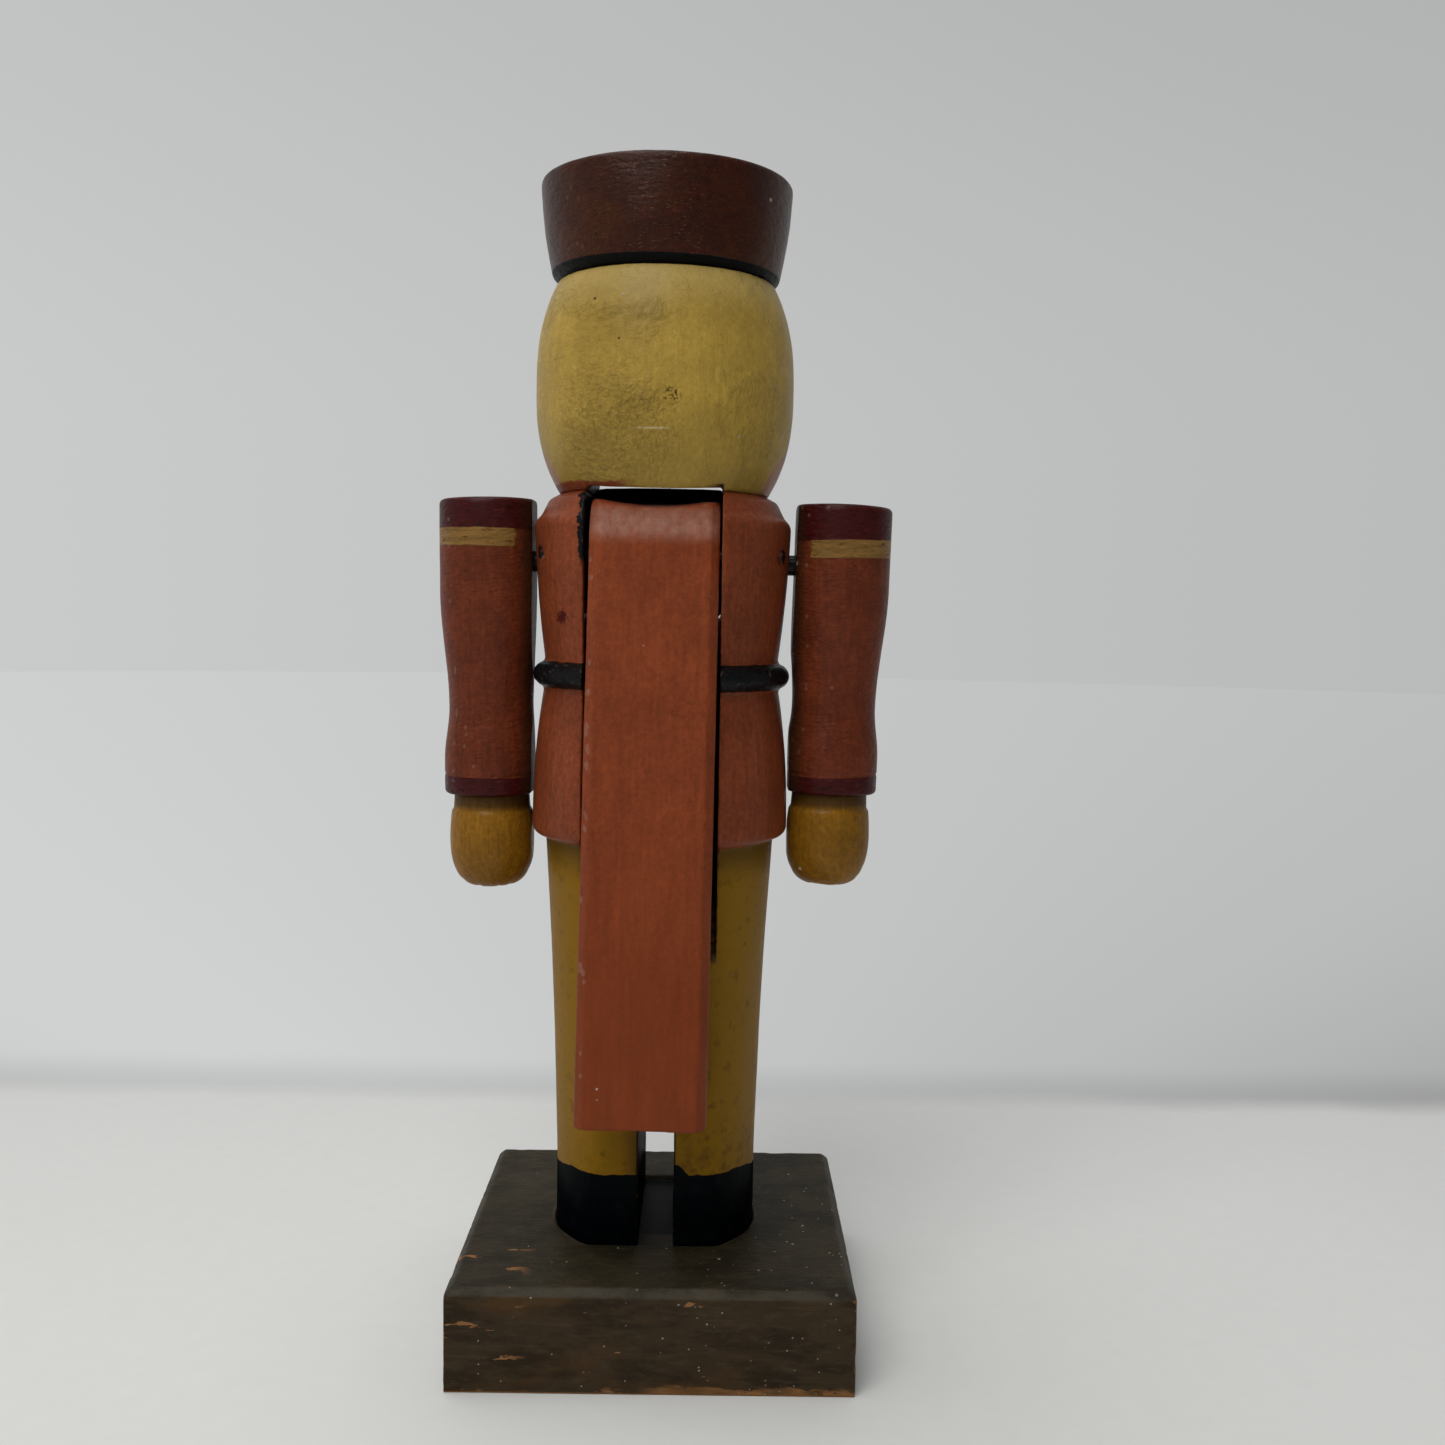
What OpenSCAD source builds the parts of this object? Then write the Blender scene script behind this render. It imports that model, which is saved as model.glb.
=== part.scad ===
// Nutcracker figure: a turned wooden soldier on a square base.
// The lever at the back is one piece with the lower jaw, and it turns on a
// steel pin across the shoulders. Millimetres, +Z up, origin at the middle of
// the base's underside, and the figure faces -Y, so its left side is +X.

/* [Base] */
// Width of the base, left to right
base_w = 94; // [84:1:120]
// Depth of the base, front to back
base_d = 90; // [80:1:120]
// Thickness of the base board
base_h = 24.2; // [20:0.2:28]
// Chamfer round the top edges of the base
base_chamfer = 1.8; // [0.5:0.1:3]
// Depth of the recess that the feet stand in
recess_depth = 1.6; // [0.6:0.1:3]
// How far the figure stands to its own left of the middle of the base
figure_x = 0.8; // [-2:0.1:2]

/* [Body] */
// Radius of the legs at the feet
foot_r = 25; // [24.6:0.1:25.4]
// Radius of the legs under the skirt of the coat
leg_top_r = 28.4; // [28:0.1:28.8]
// Largest radius of the skirt
skirt_r = 31.7; // [31:0.1:31.7]
// Radius of the coat just below the belt
waist_r = 29; // [28.6:0.1:29.4]
// Radius of the belt bead
belt_r = 31.8; // [31.2:0.1:31.8]
// Radius of the shoulders
shoulder_r = 31.6; // [31:0.1:31.7]
// Radius of the groove at the neck
neck_r = 25.5; // [25:0.1:26]
// Width of the gap sawn between the legs
leg_gap = 8.6; // [6:0.2:10]
// Width of the slot that the lever works in
slot_w = 32; // [31.6:0.1:32.6]
// Middle of the slot, to the figure's left of the middle of the base
slot_x = 2.3; // [1.9:0.1:2.5]

/* [Head and hat] */
// Largest radius of the head
head_r = 31.5; // [31:0.1:32]
// Height of the mouth opening at the front of the head
mouth_h = 8; // [7:0.5:10]
// Radius of the hat at its brim
hat_r = 27.7; // [27:0.1:28.4]
// Radius of the hat at its crown
hat_top_r = 30.5; // [29.5:0.1:31]
// Height of the hat
hat_h = 23.8; // [20:0.2:26]
// Tilt of the hat, in degrees
hat_tilt = 0.2; // [0:0.1:1]
// Diameter of the nose
nose_d = 9; // [7:0.5:11]

/* [Lever] */
// Width of the lever's handle
lever_w = 30.3; // [29:0.1:30.5]
// How far the handle stands to the right of the middle of the slot
lever_off = 0.3; // [0:0.1:0.4]
// Thickness of the handle
handle_t = 14.3; // [12:0.1:14.4]
// Lean of the handle away from the legs, in degrees
handle_lean = 6.1; // [6:0.1:7]
// Sideways lean of the handle, towards the figure's left at the bottom, in degrees
handle_skew = 0.5; // [0:0.1:0.6]
// Chamfer along the handle's long back edges
handle_chamfer = 2; // [1:0.1:3]
// Diameter of the lever's pin
pin_d = 3; // [2.5:0.1:4]

/* [Arms] */
// Length of the left sleeve
sleeve_left = 72.6; // [70:0.1:74]
// Length of the right sleeve
sleeve_right = 70.8; // [70:0.1:74]
// Radius of the sleeve at the shoulder
sleeve_r = 12.4; // [12:0.1:12.6]
// Radius of the sleeve at the elbow
elbow_r = 10.4; // [10:0.1:11]
// Radius of the sleeve at the cuff
cuff_r = 11.6; // [11:0.1:11.8]
// Largest radius of the hand
hand_r = 10.5; // [9.5:0.1:10.7]
// How far the hand reaches below the cuff
hand_len = 23.2; // [21:0.1:25]
// Depth of the flat planed on the inside of each arm
arm_flat = 1.2; // [1:0.1:1.6]

/* [Hidden] */

$fn = 96;
eps = 0.01;
far = 200;
fit = 0.02;              // radial gap round a glued dowel
run = 0.05;              // radial gap round the pin in the lever
steps = 14;              // segments along one stretch of a turned profile

// Heights above the table
foot_z = base_h - recess_depth;
ankle_z = 41;
skirt_z = 122.4;
skirt_corner = 2.2;
belt_z = 162;
belt_bead = 3.1;
shoulder_z = 200.8;
neck_z = 205.8;
head_mid_z = 231.6;
head_top_z = 256.5;
nose_z = 228.6;
hat_off = 0.15;          // how far the hat sits to the left of the head's axis
leg_gap_top_z = 116;

// The flat at the back of the legs leans from the heel up to the slot's end
heel_y = 19.6;
slot_end_y = 24;
slot_end_z = 93;

// The pin, and what the jaw sweeps round it
pin_y = 12;
pin_z = 191;
sweep_r = 42.9;
chest_edge_z = 176;
chest_inside_r = 28;     // inside of the chest's front wall, at its top edge
chest_taper = 0.16;      // how much that radius shrinks for each mm further down
jaw_front_r = 28.4;
end_dist = norm([slot_end_y - pin_y, pin_z - slot_end_z]);
floor_lean = asin(sweep_r / end_dist) + atan((slot_end_y - pin_y) / (pin_z - slot_end_z));
floor_len = sqrt(end_dist * end_dist - sweep_r * sweep_r);
floor_top = [slot_end_y - floor_len * sin(floor_lean), slot_end_z + floor_len * cos(floor_lean)];

// The lever, in the plane of its side
lever_bottom_z = 59.9;
knuckle_r = 16.2;
knuckle_end = 48;        // angle at which the knuckle meets the top, in degrees
web_z = 168;             // underside of the web between handle and jaw
stop_gap = 0.15;
handle_back_y = slot_end_y + stop_gap + handle_t / cos(handle_lean);
handle_x = slot_x - lever_off;
lip = [-30, 210.7];
chin = [-30, 178.6];
jaw_gap = 0.3;           // on each side of the jaw, which is wider than the handle
jaw_back_y = -2;
scoop_depth = 1.2;       // hollow carved in the back of the lever's top
scoop_r = 70;
scoop_rise = 11.3;       // how the hollow runs out towards the front, in degrees

// Outline of the head: radius at its top edge, how much less at its bottom edge, and fullness
head_top_r = 26.5;
head_taper = 0.4;
head_fullness = 2.6;
nose_len = 6.5;
nose_seat = 0.5;         // how deep the nose sits in the face
nose_peg = 7;

// Dowels and screws
dowel_d = 5;
head_dowel_d = 4;
head_dowel_x = [-18.4, 21.6];
head_dowel_y = -4;
head_dowel_len = 16;
hat_dowel_len = 18;
hand_dowel_len = 14;
hole_spare = 0.3;        // how much deeper a hole is than its dowel
shoulder_z_dowel = 189.5;
shoulder_dowel_out = 40; // where a shoulder dowel ends inside its sleeve
shoulder_dowel_in = [-16.5, 20.5];
screw_d = 4;
screw_head_d = 8;
screw_len = 44;
screw_sink = 1;
screw_x = 14.5;

// A stretch of a turned profile from a to b, [radius, height], swollen by bulge
function swell(a, b, bulge) =
    [for (i = [0:steps]) let (t = i / steps) a + (b - a) * t + [bulge * sin(180 * t), 0]];

// A stretch that leaves a and reaches b upright, as an S curve
function ease(a, b) =
    [for (i = [0:steps]) let (t = i / steps)
        [a[0] + (b[0] - a[0]) * (1 - cos(180 * t)) / 2, a[1] + (b[1] - a[1]) * t]];

// A quarter round of radius r about [cx, cz], from angle a0 to a1
function round_to(c, r, a0, a1) =
    [for (i = [0:6]) let (a = a0 + (a1 - a0) * i / 6) c + r * [cos(a), sin(a)]];

module turned(points) {
    rotate_extrude() polygon(concat([[0, points[0][1]]], points, [[0, points[len(points) - 1][1]]]));
}

// A drilled hole or a dowel along X
module rod_x(d, x0, x1) {
    translate([x0, 0, 0]) rotate([0, 90, 0]) cylinder(d = d, h = x1 - x0);
}

module column_outline() {
    turned(concat(
        [[foot_r, foot_z]],
        swell([foot_r, ankle_z], [leg_top_r, skirt_z], -0.5),
        round_to([skirt_r - skirt_corner, skirt_z + skirt_corner], skirt_corner, -90, 0),
        swell([skirt_r, skirt_z + 5], [waist_r, belt_z - belt_bead + 0.4], 0.7),
        round_to([belt_r - belt_bead, belt_z], belt_bead, -80, 80),
        swell([waist_r - 0.1, belt_z + belt_bead + 0.4], [shoulder_r, shoulder_z - 3], 0.4),
        round_to([shoulder_r - 3, shoulder_z - 3], 3, 0, 60),
        [[neck_r + 2.6, neck_z - 1.4], [neck_r, neck_z]]));
}

// A side view, drawn as [y, z] points, swept across width w about x
module swept_side(w, x = slot_x) {
    translate([x + w / 2, 0, 0]) rotate([0, -90, 0]) linear_extrude(w) children();
}

module side_polygon(points) {
    polygon([for (p = points) [p[1], p[0]]]);
}

// The space that the lever and its jaw need. Below its edge the front of the
// chest stays whole, as a thin curved wall that the jaw drops behind.
module slot_space() {
    difference() {
        swept_side(slot_w) {
            translate([pin_z, pin_y]) circle(r = sweep_r);
            side_polygon([[slot_end_y, slot_end_z], floor_top, [pin_y, pin_z], [pin_y, far + 60],
                          [60, far + 60], [60, slot_end_z]]);
        }
        difference() {
            translate([-far / 2, -far / 2, 0]) cube([far, far / 2, chest_edge_z]);
            translate([figure_x, 0, chest_edge_z - 50 + eps])
                cylinder(r1 = chest_inside_r - 50 * chest_taper, r2 = chest_inside_r, h = 50);
        }
    }
    swept_side(slot_w)
        side_polygon([[-60, chest_edge_z], [0, chest_edge_z], [0, far + 60], [-60, far + 60]]);
}

// Everything behind the leaning flat on the back of the legs
module heel_space(clear = 0) {
    low = foot_z - 5;
    slope = (slot_end_y - heel_y) / (slot_end_z - base_h);
    low_y = heel_y - (base_h - low) * slope + clear;
    translate([far / 2, 0, 0]) rotate([0, -90, 0]) linear_extrude(far)
        polygon([[low, low_y], [slot_end_z, slot_end_y + clear], [slot_end_z, 60], [low, 60]]);
}

module leg_gap_space() {
    translate([-leg_gap / 2, -60, foot_z - 1]) cube([leg_gap, 120, leg_gap_top_z - foot_z]);
}

module lever_side() {
    lean = tan(handle_lean);
    back_y = function (z) handle_back_y - (z - slot_end_z) * lean;
    front_y = function (z) back_y(z) - handle_t / cos(handle_lean);
    knuckle = [for (i = [0:8]) let (a = knuckle_end * i / 8)
        [pin_y + knuckle_r * cos(a), pin_z + knuckle_r * sin(a)]];
    side_polygon(concat(
        [[back_y(lever_bottom_z), lever_bottom_z]],
        knuckle,
        [lip, chin, [front_y(web_z) - 8, web_z + 8], [front_y(web_z), web_z],
         [front_y(lever_bottom_z), lever_bottom_z]]));
}

module base_block() {
    color("#3d352a") difference() {
        union() {
            translate([-base_w / 2, -base_d / 2, 0]) cube([base_w, base_d, base_h - base_chamfer]);
            translate([0, 0, base_h - base_chamfer]) intersection() {
                chamfered_slab(base_w, base_d + 20);
                rotate([0, 0, 90]) chamfered_slab(base_d, base_w + 20);
            }
        }
        difference() {
            translate([figure_x, 0, foot_z]) cylinder(r = foot_r + 0.3, h = base_h);
            heel_space(0.3);
        }
        for (side = [-1, 1]) translate([figure_x + side * screw_x, 0, 0]) {
            translate([0, 0, -eps]) cylinder(d = screw_d + 0.4, h = base_h);
            translate([0, 0, -eps]) cylinder(d = screw_head_d + 0.4, h = screw_sink + 2 * eps);
            translate([0, 0, screw_sink])
                cylinder(d1 = screw_head_d + 0.4, d2 = screw_d + 0.4, h = (screw_head_d - screw_d) / 2);
        }
    }
}

// A slab as thick as the chamfer, whose long edges lean in at 45 degrees
module chamfered_slab(w, l) {
    translate([0, l / 2, 0]) rotate([90, 0, 0]) linear_extrude(l)
        polygon([[-w / 2, 0], [w / 2, 0], [w / 2 - base_chamfer, base_chamfer],
                 [-w / 2 + base_chamfer, base_chamfer]]);
}

module leg_screws() {
    color("#8c8a82") for (side = [-1, 1]) translate([figure_x + side * screw_x, 0, screw_sink]) {
        difference() {
            turned([[screw_head_d / 2, 0], [screw_d / 2, (screw_head_d - screw_d) / 2],
                    [screw_d / 2, screw_len - 5], [0.6, screw_len]]);
            translate([-screw_head_d, -0.5, -eps]) cube([2 * screw_head_d, 1, 1]);
        }
    }
}

module body_column() {
    color("#8a3f2a") difference() {
        translate([figure_x, 0, 0]) column_outline();
        slot_space();
        heel_space();
        leg_gap_space();
        translate([0, pin_y, pin_z]) rod_x(pin_d + 2 * fit, -60, 60);
        for (x = head_dowel_x) translate([x, head_dowel_y, neck_z - head_dowel_len / 2 - hole_spare])
            cylinder(d = head_dowel_d + 2 * fit, h = head_dowel_len);
        translate([0, 0, shoulder_z_dowel]) {
            rod_x(dowel_d + 2 * fit, shoulder_dowel_in[1] - hole_spare, 60);
            rod_x(dowel_d + 2 * fit, -60, shoulder_dowel_in[0] + hole_spare);
        }
        for (side = [-1, 1]) translate([figure_x + side * screw_x, 0, 0])
            cylinder(d = screw_d + 2 * fit, h = screw_len + screw_sink + 1);
    }
}

module head() {
    half_h = head_top_z - head_mid_z;
    skin = [for (i = [0:2 * steps]) let (z = neck_z + (head_top_z - neck_z) * i / (2 * steps),
                                         t = pow(abs(z - head_mid_z) / half_h, head_fullness))
        [head_r - (head_r - head_top_r) * t - (z < head_mid_z ? head_taper * t : 0), z]];
    back_gap = 0.1;
    color("#b8923f") difference() {
        translate([figure_x, 0, 0]) turned(skin);
        // the mouth's roof, rising from the back of the slot to the front of the face
        swept_side(slot_w)
            side_polygon([[26, neck_z - 1], [26, neck_z + back_gap], [-31, neck_z + mouth_h],
                          [-40, neck_z + mouth_h + 1], [-40, neck_z - 1]]);
        for (x = head_dowel_x) translate([x, head_dowel_y, neck_z - 1])
            cylinder(d = head_dowel_d + 2 * fit, h = 1 + head_dowel_len / 2 + hole_spare);
        translate([figure_x, 0, head_top_z - hat_dowel_len / 2 - hole_spare])
            cylinder(d = dowel_d + 2 * fit, h = far);
        translate([figure_x, -head_r + nose_seat, nose_z]) rotate([90, 0, 0]) cylinder(d = nose_d + 0.4, h = 10);
        translate([figure_x, -head_r + nose_seat + nose_peg + 2 * hole_spare, nose_z]) rotate([90, 0, 0])
            cylinder(d = dowel_d + 2 * fit, h = 10);
    }
}

module head_dowels() {
    color("#b89a6a") for (x = head_dowel_x)
        translate([x, head_dowel_y, neck_z - head_dowel_len / 2]) cylinder(d = head_dowel_d, h = head_dowel_len);
}

module nose() {
    rim = 0.8;
    color("#a86a4a") translate([figure_x, -head_r + nose_seat, nose_z]) rotate([90, 0, 0]) {
        turned(concat([[nose_d / 2 - 0.6, 0]],
            [for (i = [0:10]) let (t = i / 10)
                [nose_d / 2 * sqrt(1 - t * t * 0.999), rim + (nose_len - rim) * t]]));
        translate([0, 0, -nose_peg]) cylinder(d = dowel_d, h = nose_peg + 0.2);
    }
}

module hat() {
    edge = 1.6;
    color("#4d2416") translate([figure_x + hat_off, 0, head_top_z]) rotate([0, -hat_tilt, 0]) translate([0, 0, 0.35])
        difference() {
            turned(concat(
                [[hat_r - edge, 0], [hat_r, edge]],
                swell([hat_r + 0.1, edge + 0.3], [hat_top_r, hat_h - 1.4], 0.5),
                round_to([hat_top_r - 1, hat_h - 1], 1, 0, 90)));
            translate([-hat_off, 0, -eps]) cylinder(d = dowel_d + 0.4, h = hat_dowel_len / 2 + 2 * hole_spare);
        }
}

module hat_dowel() {
    color("#b89a6a") translate([figure_x, 0, head_top_z - hat_dowel_len / 2])
        cylinder(d = dowel_d, h = hat_dowel_len);
}

module lever() {
    far_side = [far, far, 2 * far];
    color("#96452c") difference() {
        union() {
            handle();
            intersection() {
                swept_side(slot_w - 2 * jaw_gap) lever_side();
                translate([-far / 2, jaw_back_y - far, 0]) cube(far_side);
            }
        }
        // the jaw's front is rounded to the same curve as the chest
        difference() {
            translate([-far / 2, -far - 10, 0]) cube(far_side);
            translate([figure_x, 0, -eps]) cylinder(r = jaw_front_r, h = 3 * far);
        }
        translate([0, pin_y, pin_z]) rod_x(pin_d + 2 * run, -60, 60);
        scoop_space();
    }
}

// The handle, with its knuckle round the pin
module handle() {
    translate([handle_x, 0, pin_z]) rotate([0, -handle_skew, 0]) translate([-handle_x, 0, -pin_z])
        difference() {
            swept_side(lever_w, handle_x) lever_side();
            for (side = [-1, 1]) {
                handle_edge_cut(side);
                knuckle_edge_cut(side);
            }
            translate([-far / 2, jaw_back_y - 2 - far, 0]) cube([far, far, 2 * far]);
        }
}

// The chamfer along one long back edge of the handle
module handle_edge_cut(side) {
    reach = handle_chamfer * sqrt(2);
    translate([handle_x + side * lever_w / 2, handle_back_y, slot_end_z])
        rotate([handle_lean, 0, 0]) rotate([0, 0, 45])
            translate([-reach / 2, -reach / 2, -60]) cube([reach, reach, 160]);
}

// The same chamfer, carried on round the knuckle to the lever's top
module knuckle_edge_cut(side) {
    intersection() {
        translate([handle_x + side * lever_w / 2, pin_y, pin_z]) rotate([0, side * 90, 0]) rotate_extrude()
            polygon([[knuckle_r - handle_chamfer, 0], [knuckle_r + 2, -handle_chamfer - 2],
                     [knuckle_r + 2, 1], [knuckle_r - handle_chamfer, 1]]);
        translate([-far / 2, pin_y, pin_z - 1]) cube(far);
    }
}

// The hollow across the back of the lever's top
module scoop_space() {
    translate([handle_x, pin_y + knuckle_r * cos(knuckle_end), pin_z + knuckle_r * sin(knuckle_end) - scoop_depth])
        rotate([90 - scoop_rise, 0, 0]) translate([0, scoop_r, -20]) cylinder(r = scoop_r, h = 60, $fn = 240);
}

module lever_pin() {
    color("#2b2b2b") translate([figure_x, pin_y, pin_z]) rod_x(pin_d, -27.4, 27.4);
}

// Each arm hangs from its shoulder, a little closer to the body at the hand:
// [side, height of its top, distance out from the middle at the shoulder, lean, sleeve length]
left_arm = [1, 204.5, 43.8, 0.7, sleeve_left];
right_arm = [-1, 204.1, 43.5, 1.5, sleeve_right];

module arm_place(arm) {
    translate([arm[0] * arm[2], 0, arm[1]]) rotate([0, arm[0] * arm[3], 0]) children();
}

// The sleeve, hanging down from the origin
module sleeve(arm) {
    l = arm[4];
    cuff = 4.4;
    color("#7a3524") difference() {
        arm_place(arm) difference() {
            turned(concat(
                [[cuff_r - 0.6, -l], [cuff_r, -l + 0.6], [cuff_r, -l + cuff], [cuff_r - 0.5, -l + cuff + 0.4],
                 [cuff_r, -l + cuff + 0.9]],
                ease([cuff_r, -l + 8.5], [elbow_r, -l + 21.5]),
                ease([elbow_r, -l + 22], [sleeve_r, -l + 50]),
                round_to([sleeve_r - 1.3, -1.3], 1.3, 0, 90)));
            translate([-arm[0] * (sleeve_r - arm_flat + 10), 0, -l / 2]) cube([20, 60, far], center = true);
            translate([0, 0, -l - eps]) cylinder(d = dowel_d + 2 * fit, h = hand_dowel_len / 2 + hole_spare);
        }
        body_side(arm);
        translate([0, 0, shoulder_z_dowel]) shoulder_hole(arm);
    }
}

// What lies nearer the middle than the skirt of the coat
module body_side(arm) {
    x = figure_x + arm[0] * (skirt_r + 0.2);
    translate([x - arm[0] * 50, 0, 100]) cube([100, 200, 300], center = true);
}

module shoulder_hole(arm) {
    end = shoulder_dowel_out + hole_spare;
    if (arm[0] > 0) rod_x(dowel_d + 2 * fit, 20, end);
    else rod_x(dowel_d + 2 * fit, -end, -20);
}

// The hand, an egg on a narrower neck
module hand(arm) {
    l = arm[4];
    neck_h = 4.4;
    egg = hand_len - neck_h;
    color("#96702c") difference() {
        arm_place(arm) difference() {
            translate([0, 0, -l - hand_len]) turned(concat(
                [for (i = [0:12]) let (a = 90 * i / 12)
                    [hand_r * pow(sin(18 + a * 0.8), 0.85), 0.62 * egg * (1 - pow(cos(a), 0.9))]],
                swell([hand_r, 0.63 * egg], [hand_r - 0.5, egg], 0.1),
                [[hand_r - 1, egg + 0.5], [hand_r - 1.2, hand_len]]));
            translate([0, 0, -l - hand_dowel_len / 2 - hole_spare])
                cylinder(d = dowel_d + 2 * fit, h = hand_dowel_len);
        }
        body_side(arm);
    }
}

module hand_dowel(arm) {
    color("#b89a6a") arm_place(arm) translate([0, 0, -arm[4] - hand_dowel_len / 2])
        cylinder(d = dowel_d, h = hand_dowel_len);
}

module sleeve_left_arm() { sleeve(left_arm); }
module sleeve_right_arm() { sleeve(right_arm); }
module hand_left() { hand(left_arm); }
module hand_right() { hand(right_arm); }
module hand_dowel_left() { hand_dowel(left_arm); }
module hand_dowel_right() { hand_dowel(right_arm); }

module shoulder_dowel_left() {
    color("#1a1714") translate([0, 0, shoulder_z_dowel])
        rod_x(dowel_d, shoulder_dowel_in[1], shoulder_dowel_out);
}

module shoulder_dowel_right() {
    color("#1a1714") translate([0, 0, shoulder_z_dowel])
        rod_x(dowel_d, -shoulder_dowel_out, shoulder_dowel_in[0]);
}

base_block();
leg_screws();
body_column();
head();
head_dowels();
nose();
hat();
hat_dowel();
lever();
lever_pin();
sleeve_left_arm();
sleeve_right_arm();
hand_left();
hand_right();
hand_dowel_left();
hand_dowel_right();
shoulder_dowel_left();
shoulder_dowel_right();
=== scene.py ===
"""The looks of the nutcracker figure: painted, turned wood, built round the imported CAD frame.

Each wooden part is carved again from its CAD solid: remeshed finely, its edges eased as thick
paint eases them, and its surface made slightly uneven. The paint is node materials that work in
millimetres in the frame: +Z up, the figure faces -Y, and its own left is +X.
"""

import math

import bmesh
import bpy
import numpy as np
from mathutils import Matrix, Vector, noise


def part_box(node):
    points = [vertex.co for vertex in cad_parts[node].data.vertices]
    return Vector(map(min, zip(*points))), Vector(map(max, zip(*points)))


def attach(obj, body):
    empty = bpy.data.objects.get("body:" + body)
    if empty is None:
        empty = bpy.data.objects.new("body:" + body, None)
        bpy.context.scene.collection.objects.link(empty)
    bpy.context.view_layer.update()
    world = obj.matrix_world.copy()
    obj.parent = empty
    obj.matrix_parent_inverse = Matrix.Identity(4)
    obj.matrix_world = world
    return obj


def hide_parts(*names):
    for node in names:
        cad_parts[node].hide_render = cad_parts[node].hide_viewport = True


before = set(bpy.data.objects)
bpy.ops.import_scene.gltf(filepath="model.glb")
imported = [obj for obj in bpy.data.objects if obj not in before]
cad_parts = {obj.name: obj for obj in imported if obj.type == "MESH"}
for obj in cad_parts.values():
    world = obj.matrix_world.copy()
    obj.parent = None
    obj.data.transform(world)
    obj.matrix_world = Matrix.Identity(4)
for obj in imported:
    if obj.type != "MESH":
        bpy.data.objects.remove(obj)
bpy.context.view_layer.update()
MM = 0.001

# Places on the figure, in millimetres, worked out from the frame
FIGURE_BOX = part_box("body_column")
FIGURE_X = (FIGURE_BOX[0].x + FIGURE_BOX[1].x) / 2 / MM
LEVER_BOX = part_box("lever")
SLOT_X = (LEVER_BOX[0].x + LEVER_BOX[1].x) / 2 / MM
HAT_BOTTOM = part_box("hat")[0].z / MM
BASE_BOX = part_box("base_block")
BASE_TOP = BASE_BOX[1].z / MM
PIN = [(a + b) / 2 / MM for a, b in zip(*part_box("lever_pin"))]

# Places of what is cut or painted on it, in millimetres
SLOT_HALF = 16.0
SLOT_RUN_OUT_Z = (93.5, 112.0)
LEG_GAP_HALF = 4.3
LEG_GAP_TOP = 117.5
BOOT_Z = 39.3
HEM_Z = 121.9
BELT_Z = 162.0
BUTTONS_Z = (171.0, 151.0, 141.0, 131.0)
BUCKLE_OUT = 5.5
BUCKLE_IN = 4.0
LIP_Z = 203.4
TEETH_Z = 205.6
TOOTH_PITCH = 4.3
EYE_Z = 237.4
EYE_OUT = 10.2
BROW_Z = 244.6
CHEEK_Z = 226.0
MOUSTACHE_Z = 219.6
CUFF_HEIGHT = 4.7
FOOT_RADIUS = 25.0


# ---------------------------------------------------------------- camera, light and floor

def look(position, forward, roll_deg):
    """The rotation of a camera at position that looks along forward, rolled clockwise."""
    turn = Vector(forward).to_track_quat("-Z", "Y").to_matrix().to_4x4()
    return Matrix.Translation(position) @ turn @ Matrix.Rotation(math.radians(roll_deg), 4, "Z")


def make_camera():
    data = bpy.data.cameras.new("camera")
    data.sensor_width = 36
    data.lens = 36.84
    data.clip_start = 0.01
    camera = bpy.data.objects.new("camera", data)
    bpy.context.scene.collection.objects.link(camera)
    yaw, down = math.radians(-0.391), math.radians(4.127)
    forward = (math.sin(yaw) * math.cos(down), -math.cos(yaw) * math.cos(down), -math.sin(down))
    camera.matrix_world = look(Vector((-0.01204, 0.3692, 0.1768)), forward, 0.915)
    bpy.context.scene.camera = camera


def area_light(name, place, target, size, power, colour=(1, 1, 1)):
    data = bpy.data.lights.new(name, "AREA")
    data.shape = "DISK"
    data.size = size
    data.energy = power
    data.color = colour
    light = bpy.data.objects.new(name, data)
    bpy.context.scene.collection.objects.link(light)
    aim = Vector(target) - Vector(place)
    light.matrix_world = Matrix.Translation(place) @ aim.to_track_quat("-Z", "Y").to_matrix().to_4x4()


def backdrop_colour(graph, direction):
    """The pale studio's colour along a direction: brighter on the figure's left, dimmer towards +Y."""
    x, y, z = graph.split(direction)
    side = graph.ramp(x, 0.11, 0.54)
    room = graph.times(graph.smooth(y, -0.85, 0.25), 0.30)
    high = graph.times(graph.smooth(z, 0.1, 0.5), 0.07)
    level = graph.minus(graph.minus(side, room), high)
    return graph.tint((0.992, 1.01, 1.0), level)


def make_stage():
    bpy.context.scene.view_settings.view_transform = "Standard"
    world = bpy.data.worlds.new("studio")
    world.use_nodes = True
    bpy.context.scene.world = world
    graph = Graph(world.node_tree)
    coords = graph.node("ShaderNodeTexCoord")
    background = graph.node("ShaderNodeBackground")
    graph.link(backdrop_colour(graph, coords.outputs["Generated"]), background.inputs["Color"])
    graph.link(background.outputs[0], graph.node("ShaderNodeOutputWorld").inputs["Surface"])

    mesh = bpy.data.meshes.new("floor")
    shape = bmesh.new()
    bmesh.ops.create_circle(shape, cap_ends=True, segments=96, radius=4.0)
    shape.to_mesh(mesh)
    shape.free()
    floor = bpy.data.objects.new("floor", mesh)
    bpy.context.scene.collection.objects.link(floor)
    floor.location.z = -0.0001
    mesh.materials.append(floor_material())

    area_light("key", (0.28, 0.66, 0.95), (0, 0, 0.14), 0.8, 5.4, (1.0, 0.985, 0.96))
    area_light("top", (0.15, -0.05, 1.1), (0, 0, 0.1), 0.7, 3.5)


# ---------------------------------------------------------------- a small kit for node trees

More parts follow.
